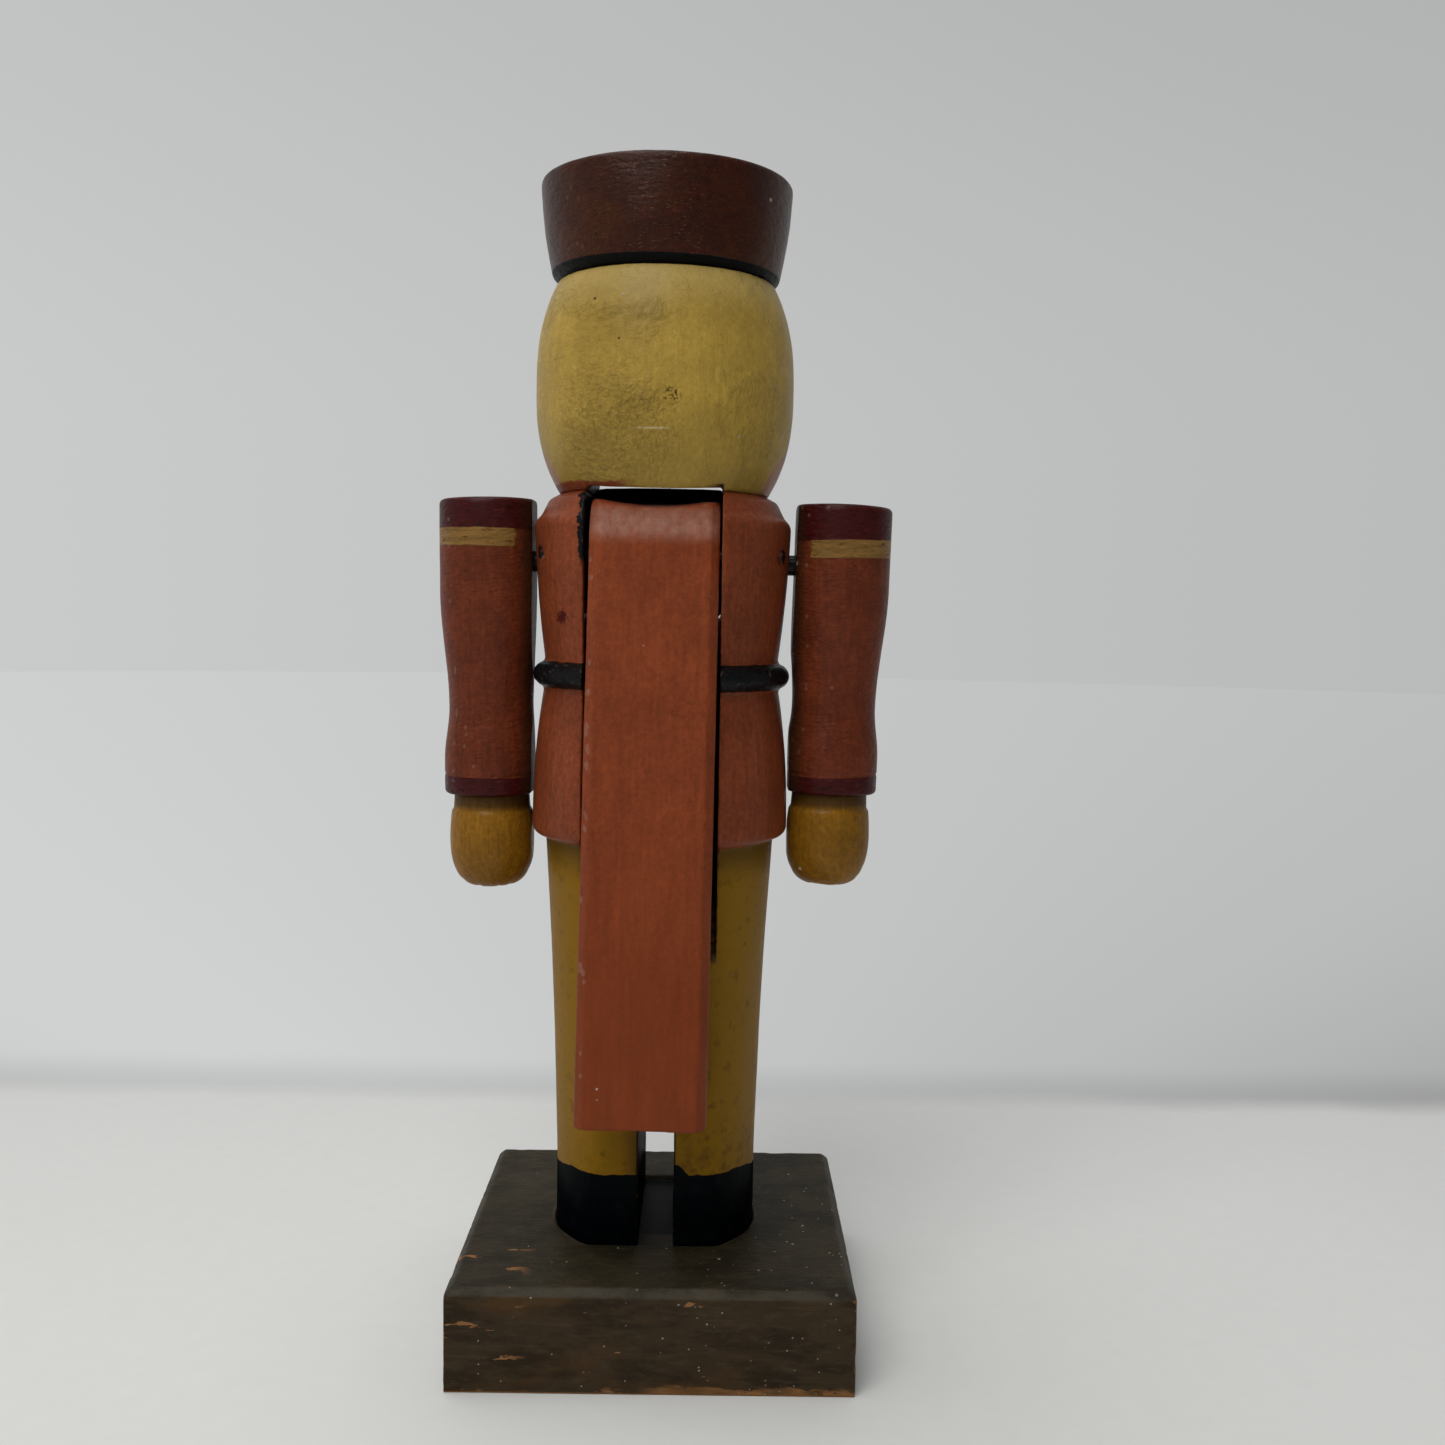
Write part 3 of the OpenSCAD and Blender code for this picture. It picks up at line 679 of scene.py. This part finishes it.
def paint_old_head(paint):
    """Smudges, pebbly patches, pits, a pale scuff and a dark knot on the ochre head, with painted shade low
    on it and painted light on its top.
    """
    graph = paint.graph
    smudge = paint.patches(0.07, 0.45, 0.68, detail=6.0, rough=0.65, seed=64)
    paint.layer(smudge, graph.tint(OCHRE_HEAD, 0.6), share=0.45)
    pebbles = paint.patches(0.9, 0.5, 0.62, detail=4.0, rough=0.6, seed=68)
    lower_left = graph.smooth(paint.distance((12.0, 26.0, 218.0)), 22.0, 6.0)
    rougher = graph.either(lower_left, graph.times(paint.patches(0.06, 0.5, 0.62, seed=69), 0.5))
    paint.layer(graph.both(pebbles, rougher), graph.tint(OCHRE_HEAD, 0.55), share=0.5)
    paint.rise(graph.both(rougher, graph.times(paint.noise(0.8, detail=4.0, seed=67), 2.6)))
    stain = graph.smooth(paint.distance((12.0, 28.0, 250.0)), 18.0, 4.0)
    paint.layer(stain, graph.tint(OCHRE_HEAD, 0.45), share=0.35)
    # painted shade on the lower head
    paint.layer(graph.smooth(paint.z, 225.0, 207.0), graph.tint(OCHRE_HEAD, 0.6), share=0.35)
    # painted light on the top of the head, as lit from above
    paint.layer(graph.smooth(paint.z, 244.0, 256.0), (0.60, 0.46, 0.19), 0.5, share=0.4)
    pits = paint.patches(1.5, 0.62, 0.72, detail=5.0, rough=0.6, seed=66)
    paint.layer(pits, graph.tint(OCHRE_HEAD, 0.45), 0.6, -0.1, share=0.6)
    scuff = graph.both(band(paint, paint.z, 218.8, 219.2, 0.25, seed=73),
                       band(paint, paint.x, -1.0, 6.4, 0.5, 1.5, seed=74),
                       graph.smooth(paint.y, 10.0, 20.0))
    paint.layer(scuff, (0.70, 0.58, 0.32), share=0.7)
    knot = graph.smooth(paint.distance((-1.8, 31.0, 226.3)), 2.6, 1.2)
    bits = paint.patches(1.2, 0.52, 0.56, detail=4.0, seed=78)
    paint.layer(graph.both(knot, bits), graph.tint(OCHRE_HEAD, 0.15), 0.7, -0.1)
    crackled(paint, 0.42, 0.03, graph.tint(OCHRE_HEAD, 0.4), 61, 0.6)


def paint_face(paint):
    """Skin in front of the painted hair, with plain round eyes, brows, cheeks and a moustache."""
    graph = paint.graph
    hairline = graph.ramp(graph.smooth(paint.z, 228.0, 210.0), 20.0, -9.0)
    face = band(paint, graph.minus(paint.y, hairline), None, 0.0, 1.2, 0.15, seed=70, scale=0.12)
    skin = graph.mix(paint.noise(0.1, seed=71), graph.tint(FLESH, 0.9), FLESH)
    paint.layer(face, skin, 0.42, -0.08)
    for side in (-1, 1):
        eye = FIGURE_X + side * EYE_OUT
        cheek = spot(paint, FIGURE_X + side * 17.0, CHEEK_Z, 5.2, 5.0, soft=2.4)
        paint.layer(cheek, (0.45, 0.07, 0.05), share=0.55)
        paint.layer(spot(paint, eye, EYE_Z + 0.2, 4.6, 3.4), HAIR_DARK, 0.4, 0.05)
        paint.layer(spot(paint, eye, EYE_Z, 4.0, 2.8), CREAM, 0.35, 0.06)
        paint.layer(spot(paint, eye, EYE_Z, 2.2, 2.4), IRIS, 0.3, 0.03)
        paint.layer(spot(paint, eye, EYE_Z, 1.1, 1.2), BLACK, 0.25)
        paint.layer(spot(paint, eye + 0.8, EYE_Z + 0.9, 0.45, 0.45), CREAM, 0.25)
        brow = spot(paint, FIGURE_X + side * 10.6, BROW_Z, 6.0, 1.15, lean=side * -6.0)
        paint.layer(brow, HAIR_DARK, 0.5, 0.12)
        moustache = spot(paint, FIGURE_X + side * 6.6, MOUSTACHE_Z, 7.6, 2.6, lean=side * -16.0)
        paint.layer(moustache, HAIR_DARK, 0.5, 0.2)
        curl = spot(paint, FIGURE_X + side * 14.0, MOUSTACHE_Z - 1.0, 3.6, 1.3, lean=side * 24.0)
        paint.layer(curl, HAIR_DARK, 0.5, 0.2)


def head_material():
    paint = Paint("head_paint", OCHRE_HEAD, 0.42)
    graph = paint.graph
    brushed(paint, streak=0.05, mottle=0.10, grit=0.12, seed=60)
    paint_old_head(paint)
    paint_face(paint)
    # painted shade darkens the concave corners
    paint.layer(paint.hollow_shade(), DIRT_AND_SHADE, 0.7, share=0.6)

    # the roof of the mouth, darkened with painted shade
    over_slot = graph.smooth(graph.size(graph.minus(paint.x, SLOT_X)), SLOT_HALF + 0.5, SLOT_HALF + 0.1)
    above = graph.minus(paint.z, graph.ramp(paint.y, -0.133, 210.4))
    mouth_roof_shade = graph.both(graph.smooth(paint.z, 213.4, 212.0), over_slot,
                      graph.smooth(above, 0.2, -0.2), graph.smooth(paint.y, 24.0, 22.0))
    paint.layer(mouth_roof_shade, (0.05, 0.012, 0.009), 0.8)

    # coat paint that crept up from the left shoulder
    crept_z = graph.minus(paint.z, graph.times(paint.noise(0.3, seed=75), 3.0))
    creep = graph.both(graph.smooth(crept_z, 206.6, 205.8), graph.smooth(paint.x, 6.0, 12.0))
    paint.layer(creep, COAT, 0.5)
    dusty(paint, 0.05, 62)
    return paint.finish()


def hat_material():
    paint = Paint("hat_paint", HAT_BROWN, 0.33)
    paint.coat = 0.3
    graph = paint.graph
    brushed(paint, along=(0.2, 0.2, 1.0), streak=0.12, mottle=0.2, seed=80)
    warm = paint.patches(0.04, 0.42, 0.62, detail=2.0, seed=89)
    paint.layer(warm, (0.088, 0.021, 0.001), share=0.75)
    lumps = paint.noise(0.7, detail=5.0, rough=0.65, stretch=(0.5, 0.5, 1.3), seed=91)
    paint.rise(graph.times(lumps, 1.5))
    flakes = graph.cells(paint.point, 0.8, stretch=(0.5, 0.5, 1.4), seed=92)
    paint.rise(graph.times(flakes.outputs["Distance"], 0.25))
    crackled(paint, 0.55, 0.10, graph.tint(HAT_BROWN, 0.45), 81, 0.35)
    crackled(paint, 1.1, 0.06, graph.tint(HAT_BROWN, 0.5), 87, 0.42)
    # painted highlights: pale glints in the middle of the hat
    glints = paint.patches(1.6, 0.58, 0.68, detail=5.0, rough=0.65, stretch=(0.5, 0.5, 1.6), seed=83)
    middle = graph.smooth(graph.size(graph.minus(paint.x, 4.0)), 20.0, 5.0)
    patches = graph.both(paint.patches(0.09, 0.3, 0.5, seed=84), middle)
    paint.layer(graph.both(glints, patches), (0.26, 0.15, 0.11), 0.5, 0.1, share=0.55)
    rim = graph.plus(paint.z, graph.times(paint.x, -math.tan(math.radians(0.7))))
    black = band(paint, rim, None, HAT_BOTTOM + 2.0, 0.15, 0.1, seed=85)
    paint.layer(black, BLACK, 0.4)
    paint.coat = graph.blend(black, paint.coat, 0.05)
    paint.layer(paint.edges(0.53, 0.6), (0.2, 0.10, 0.07), 0.55, share=0.3)
    dusty(paint, 0.06, 82)
    return paint.finish()


def sleeve_material(name, side, cap, gold, seed):
    """cap and gold are how far the maroon cap and the gold band reach down from the sleeve's top."""
    paint = coat_paint(name, COAT_SLEEVE, seed, 0.5)
    graph = paint.graph
    paint.vary(0.12, 0.16, seed=seed + 1)
    low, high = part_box(name)
    top, bottom = high.z / MM, low.z / MM
    axis_x = (low.x + high.x) / 2 / MM
    lean = math.tan(math.radians(0.7 if side > 0 else 1.5))
    across = graph.minus(paint.x, axis_x)
    down = graph.minus(graph.ramp(across, side * lean, top), paint.z)
    outward = graph.times(across, side)
    paint.layer(band(paint, down, None, cap, 0.35, 0.1, seed=seed + 2, scale=0.2), MAROON, 0.42, 0.05)
    edge = graph.ramp(paint.noise(0.5, seed=seed + 6), 2.4, -1.2)
    reach = graph.smooth(graph.plus(outward, edge), -8.6, -8.0)
    stripe = graph.both(band(paint, down, cap, gold, 0.4, 0.12, seed=seed + 3, scale=0.16), reach)
    streaks = paint.noise(1.0, detail=4.0, stretch=(0.12, 0.12, 1.6), seed=seed + 4)
    streaky_gold = graph.mix(graph.smooth(streaks, 0.3, 0.7), graph.tint(GOLD, 0.72), graph.tint(GOLD, 1.12))
    paint.layer(stripe, streaky_gold, 0.45, 0.2)
    gaps = paint.patches(0.9, 0.60, 0.66, detail=5.0, stretch=(0.35, 0.35, 1.3), seed=seed + 8)
    paint.layer(graph.both(stripe, gaps), graph.tint(COAT, 0.4), share=0.8)
    wrinkles = paint.noise(0.9, detail=4.0, stretch=(0.5, 0.5, 1.4), seed=seed + 7)
    paint.rise(graph.times(wrinkles, 0.9))
    cuff = band(paint, graph.minus(bottom + CUFF_HEIGHT, paint.z), 0.0, None, 0.15, 0.1, seed=seed + 5)
    paint.layer(cuff, MAROON, 0.42, 0.04)
    maroon = graph.either(cuff, graph.smooth(down, cap, cap - 0.3))
    folds = paint.noise(1.0, detail=5.0, rough=0.6, stretch=(0.35, 0.35, 1.4), seed=seed + 9)
    # painted shade in the creases of the maroon cap and cuff
    crease_shade = graph.both(maroon, graph.smooth(folds, 0.48, 0.34))
    paint.layer(crease_shade, graph.tint(MAROON, 0.25), 0.5, -0.15, share=0.7)
    # painted highlights on the ridges between the creases
    ridge_highlights = graph.both(maroon, graph.smooth(folds, 0.58, 0.68))
    paint.layer(ridge_highlights, (0.13, 0.028, 0.026), 0.35, 0.1, share=0.55)
    # painted shade on the sleeve's side that faces the body
    inner_shade = graph.smooth(outward, -8.5, -11.0)
    paint.layer(inner_shade, DIRT_AND_SHADE, 0.7, share=0.6)
    # painted shade darkens the concave corners
    paint.layer(paint.hollow_shade(), DIRT_AND_SHADE, 0.7, share=0.7)
    paint.layer(paint.edges(0.54, 0.62), graph.mix(0.6, COAT, DUST), 0.6, share=0.2)
    dusty(paint, 0.06, seed)
    return paint.finish()


def hand_material(name, seed):
    paint = Paint(name, OCHRE_HAND, 0.45)
    graph = paint.graph
    brushed(paint, streak=0.10, mottle=0.16, seed=seed)
    grain = paint.patches(1.4, 0.5, 0.72, detail=4.0, stretch=(1, 1, 0.12), seed=seed + 1)
    paint.layer(grain, graph.tint(OCHRE_HAND, 0.45), 0.6, -0.05, share=0.35)
    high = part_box(name)[1].z / MM
    # painted shade at the top of the hand, under the cuff
    neck_shade = graph.smooth(graph.minus(high, paint.z), 4.6, 2.5)
    paint.layer(neck_shade, DIRT_AND_SHADE, 0.7, share=0.75)
    # painted shade darkens the concave corners
    paint.layer(paint.hollow_shade(), DIRT_AND_SHADE, 0.7, share=0.5)
    dusty(paint, 0.05, seed)
    return paint.finish()


def base_material():
    paint = Paint("base_paint", BASE_OLIVE, 0.55, 0.06)
    graph = paint.graph
    brushed(paint, along=(0.05, 1.0, 1.0), streak=0.10, mottle=0.20, seed=100)
    grain = paint.noise(0.9, detail=5.0, stretch=(0.06, 1.0, 1.0), seed=104)

    def bare(level):
        """Bare wood, with its grain darkened to the given level."""
        return graph.mix(grain, graph.tint(BARE_WOOD, level), BARE_WOOD)

    # the grain shows on the sides, and the chamfer is rubbed
    rings = graph.smooth(grain, 0.52, 0.68)
    side = graph.smooth(paint.z, BASE_TOP - 1.2, BASE_TOP - 2.6)
    paint.layer(graph.both(rings, side), (0.10, 0.058, 0.026), 0.6, -0.05, share=0.5)
    paint.layer(side, (0.075, 0.046, 0.026), share=0.45)
    chamfer = graph.both(graph.smooth(paint.z, BASE_TOP - 2.3, BASE_TOP - 1.5),
                         graph.smooth(paint.z, BASE_TOP + 0.1, BASE_TOP - 0.3))
    paint.layer(chamfer, (0.10, 0.085, 0.065), 0.6, share=0.5)

    # paint lost along the edges and torn off at the lower right of the back
    wear = paint.noise(0.22, detail=6.0, rough=0.6, stretch=(0.35, 0.35, 1.0), seed=106)
    corners = paint.edges(0.505, 0.56)
    lost = graph.smooth(graph.ramp(corners, 0.24, wear), 0.735, 0.765)
    paint.layer(lost, bare(0.5), 0.7, -0.12)
    low_edge = graph.both(graph.smooth(paint.z, 3.2, 0.6), graph.smooth(wear, 0.55, 0.6))
    ragged = graph.ramp(paint.noise(0.3, detail=5.0, stretch=(0.4, 1, 1), seed=125), 6.0, -2.0)
    torn = graph.both(graph.smooth(graph.minus(paint.z, ragged), 1.0, 0.6), graph.smooth(paint.y, 40.0, 43.0),
                      graph.smooth(paint.x, 4.0, -4.0), graph.smooth(paint.x, -40.0, -34.0))
    low_edge = graph.either(low_edge, torn)
    paint.layer(low_edge, bare(0.4), 0.7, -0.1)

    # pale spots, most of them on the right, and cloudy dirt all over
    spots = graph.both(graph.dots(paint.point, 0.5, 0.20, 0.42, 107), graph.smooth(paint.x, 25.0, -20.0))
    paint.layer(spots, DUST, 0.9)
    haze = graph.both(side, paint.patches(0.035, 0.45, 0.7, stretch=(1, 1, 2.5), seed=116))
    paint.layer(haze, (0.085, 0.042, 0.013), share=0.75)
    clouds = paint.patches(0.10, 0.45, 0.62, detail=5.0, stretch=(0.5, 1, 1.5), seed=121)
    paint.layer(clouds, (0.011, 0.009, 0.005), share=0.55)
    lighter = paint.patches(0.7, 0.5, 0.68, detail=6.0, rough=0.7, stretch=(0.3, 1, 1), seed=123)
    paint.layer(lighter, (0.075, 0.058, 0.035), share=0.45)

    # chips, most of them at the left rear corner, and the unpainted underside
    chips = paint.noise(0.16, detail=6.0, rough=0.6, stretch=(0.4, 1.0, 1.4), seed=118)
    rear_left = graph.both(graph.smooth(paint.x, 27.0, 34.0), graph.smooth(paint.y, 18.0, 26.0))
    chipped = graph.either(graph.both(graph.smooth(chips, 0.60, 0.615), rear_left),
                           graph.both(graph.smooth(chips, 0.655, 0.67), side))
    paint.layer(chipped, bare(0.5), 0.7, -0.1)
    bottom = graph.smooth(paint.z, 0.4, 0.1)
    paint.layer(bottom, bare(0.55), 0.75)
    # painted shade darkens the concave corners
    paint.layer(paint.hollow_shade(), DIRT_AND_SHADE, 0.8, share=0.7)

    # the recess under the feet, darkened with painted shade, and its rubbed rim
    radius = paint.from_axis()
    recess_shade = graph.both(graph.smooth(radius, FOOT_RADIUS + 0.3, FOOT_RADIUS - 0.4),
                        graph.smooth(paint.y, 11.5, 9.5))
    paint.layer(recess_shade, BLACK, 0.6)
    rim = graph.both(graph.smooth(radius, FOOT_RADIUS, FOOT_RADIUS + 0.4),
                     graph.smooth(radius, FOOT_RADIUS + 1.3, FOOT_RADIUS + 0.7),
                     graph.smooth(paint.y, 20.0, 18.5),
                     graph.smooth(paint.z, BASE_TOP - 0.5, BASE_TOP - 0.2), graph.smooth(wear, 0.42, 0.5))
    paint.layer(rim, (0.13, 0.10, 0.075), 0.6, share=0.6)
    paint.layer(graph.dots(paint.point, 0.6, 0.18, 0.12, 113), DUST, 0.9)
    dusty(paint, 0.06, 101)
    return paint.finish()


def nose_material():
    paint = Paint("nose_paint", FLESH, 0.4)
    brushed(paint, seed=110)
    graph = paint.graph
    tip = graph.smooth(paint.y, -35.5, -38.0)
    paint.layer(tip, (0.45, 0.07, 0.05), share=0.5)
    paint.layer(graph.smooth(paint.y, -32.2, -31.2), graph.tint(FLESH, 0.4), share=0.6)
    dusty(paint, 0.03, 111)
    return paint.finish()


def dowel_material(name, colour, axis, seed):
    """Turned dowel rod, with its grain along one axis."""
    paint = Paint(name, colour, 0.65)
    stretch = tuple(0.06 if i == axis else 1.0 for i in range(3))
    paint.vary(0.3, 1.3, stretch=stretch, seed=seed)
    paint.vary(0.12, 4.0, seed=seed + 1)
    return paint.finish()


def metal_material(name, colour, seed):
    paint = Paint(name, colour, 0.38)
    paint.metallic = 1.0
    graph = paint.graph
    paint.vary(0.2, 0.8, seed=seed)
    stains = paint.patches(1.4, 0.5, 0.7, detail=5.0, seed=seed + 1)
    paint.layer(stains, graph.tint(colour, 0.4), 0.65, -0.02)
    return paint.finish()


# ---------------------------------------------------------------- carving

def uneven(point, size, seed):
    """Smooth noise from -1 to 1, with features of the given size in millimetres."""
    return noise.noise(Vector(point) / (size * MM) + Vector((seed, seed * 1.7, -seed)))


def carve(node, body, material, voxel, rounds=4, waves=0.10, ripple=0.03, shape=None, seed=1.0):
    """Stands for a CAD node: its solid remeshed, its edges eased and its faces made a little uneven.
    voxel, waves and ripple are in millimetres. rounds is how often the edges are eased, and shape
    gives further offsets, also in millimetres."""
    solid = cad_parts[node]
    copy = bpy.data.objects.new(node + "_rough", solid.data.copy())
    bpy.context.scene.collection.objects.link(copy)
    mesh = bmesh.new()
    mesh.from_mesh(copy.data)
    bmesh.ops.remove_doubles(mesh, verts=mesh.verts, dist=1e-6)
    mesh.to_mesh(copy.data)
    mesh.free()
    remesh = copy.modifiers.new("remesh", "REMESH")
    remesh.mode = "VOXEL"
    remesh.voxel_size = voxel * MM
    ease = copy.modifiers.new("ease", "SMOOTH")
    ease.factor = 0.5
    ease.iterations = rounds
    bpy.context.view_layer.update()
    carved = bpy.data.meshes.new_from_object(copy.evaluated_get(bpy.context.evaluated_depsgraph_get()))
    rough = copy.data
    bpy.data.objects.remove(copy)
    bpy.data.meshes.remove(rough)

    count = len(carved.vertices)
    points = np.empty(count * 3)
    normals = np.empty(count * 3)
    carved.vertices.foreach_get("co", points)
    carved.vertex_normals.foreach_get("vector", normals)
    points = points.reshape(-1, 3)
    normals = normals.reshape(-1, 3)
    offsets = np.array([waves * uneven(p, 16, seed) + ripple * uneven(p, 3.5, seed + 5) for p in points])
    if shape is not None:
        offsets += shape(points / MM, normals)
    floor_clear = np.clip(points[:, 2] / MM / 0.5, 0, 1)
    points += normals * (offsets * floor_clear * MM)[:, None]
    carved.vertices.foreach_set("co", points.ravel())
    carved.polygons.foreach_set("use_smooth", np.ones(len(carved.polygons), dtype=bool))
    carved.materials.clear()
    carved.materials.append(material)
    carved.update()
    piece = bpy.data.objects.new(node + "_carved", carved)
    bpy.context.scene.collection.objects.link(piece)
    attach(piece, body)
    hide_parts(node)
    assign(solid, material)
    return piece


def soften(piece, chosen, rounds):
    """Rounds off the upright edges near the chosen points, which are given in millimetres."""
    shape = bmesh.new()
    shape.from_mesh(piece.data)
    verts = [v for v in shape.verts if chosen(v.co / MM)]
    for _ in range(rounds):
        bmesh.ops.smooth_vert(shape, verts=verts, factor=0.5, use_axis_x=True, use_axis_y=True)
    shape.to_mesh(piece.data)
    shape.free()


def heel_edges(point):
    """The outer upright edges of the flat at the back of the legs."""
    return point.y > 8 and point.z < 92 and abs(point.x - FIGURE_X) > 7


def assign(node_object, material):
    """Gives a CAD solid one material."""
    node_object.data.materials.clear()
    node_object.data.materials.append(material)
    node_object.data.polygons.foreach_set("material_index", [0] * len(node_object.data.polygons))


def noises(points, size, seed):
    """Smooth noise from -1 to 1 at each point, with features of the given size in millimetres."""
    return np.array([noise.noise(Vector(p) / size + Vector((seed, -seed, seed * 0.5))) for p in points])


def worn_base(points, normals):
    """Dents and rubbed-off chips along the base's edges."""
    low, high = np.array(BASE_BOX[0]) / MM, np.array(BASE_BOX[1]) / MM
    gap = np.minimum(points - low, high - points)
    near = np.sort(gap, axis=1)[:, 1]
    closeness = np.clip(1 - near / 3.0, 0, 1)
    chips = np.clip(noises(points, 4.0, 3.0) - 0.15, 0, 1)
    return -closeness * chips * 0.9 - closeness * 0.12


def knobbly_belt(points, normals):
    """The belt bead is lumpy under its paint."""
    near = np.exp(-((points[:, 2] - BELT_Z) / 2.6) ** 2)
    return near * 0.22 * noises(points, 3.2, 8.0)


def close_jaw(points, normals):
    """Paint stands thicker on the jaw's cheeks, so no light comes past them."""
    cheek = np.clip((np.abs(normals[:, 0]) - 0.6) / 0.3, 0, 1) * np.clip((10 - points[:, 1]) / 6, 0, 1)
    return cheek * 0.30


def whittled(points, normals):
    """Shallow knife cuts on the bottom of a hand."""
    bottom = points[:, 2].min()
    near = np.clip(1 - (points[:, 2] - bottom) / 7.0, 0, 1)
    ridge_highlights = np.abs(noises(points, 5.0, 2.0))
    return -near * 0.8 * np.clip(0.25 - ridge_highlights, 0, 1)


# ---------------------------------------------------------------- the figure

def build():
    figure, jaw = "figure", "jaw_lever"
    carve("base_block", figure, base_material(), 0.6, 3, 0.06, 0.03, worn_base, seed=2)
    column = carve("body_column", figure, column_material(), 0.55, 2, 0.10, 0.03,
                   knobbly_belt, seed=5)
    soften(column, heel_edges, 80)
    carve("head", figure, head_material(), 0.5, 2, 0.14, 0.04, seed=9)
    carve("hat", figure, hat_material(), 0.45, 3, 0.12, 0.05, seed=12)
    carve("lever", jaw, lever_material(), 0.45, 2, 0.08, 0.03, close_jaw, seed=15)
    carve("sleeve_left_arm", figure,
          sleeve_material("sleeve_left_arm", 1, 7.6, 11.9, 120), 0.4, 2, 0.08, 0.03, seed=20)
    carve("sleeve_right_arm", figure,
          sleeve_material("sleeve_right_arm", -1, 8.9, 13.2, 140), 0.4, 2, 0.08, 0.03, seed=23)
    carve("hand_left", figure,
          hand_material("hand_left", 160), 0.35, 2, 0.12, 0.04, whittled, seed=26)
    carve("hand_right", figure,
          hand_material("hand_right", 170), 0.35, 2, 0.12, 0.04, whittled, seed=29)
    carve("nose", figure, nose_material(), 0.25, 2, 0.03, 0.01, seed=32)

    bare, glued = (0.50, 0.33, 0.17), (0.012, 0.010, 0.009)
    upright = dowel_material("dowel_wood_upright", bare, 2, 180)
    for name in ("head_dowels", "hat_dowel", "hand_dowel_left", "hand_dowel_right"):
        assign(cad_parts[name], upright)
    blackened = dowel_material("dowel_black", glued, 0, 185)
    for name in ("shoulder_dowel_left", "shoulder_dowel_right"):
        assign(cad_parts[name], blackened)
    assign(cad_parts["lever_pin"], metal_material("pin_steel", (0.10, 0.095, 0.09), 190))
    assign(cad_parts["leg_screws"], metal_material("screw_zinc", (0.5, 0.49, 0.46), 195))


make_camera()
make_stage()
build()
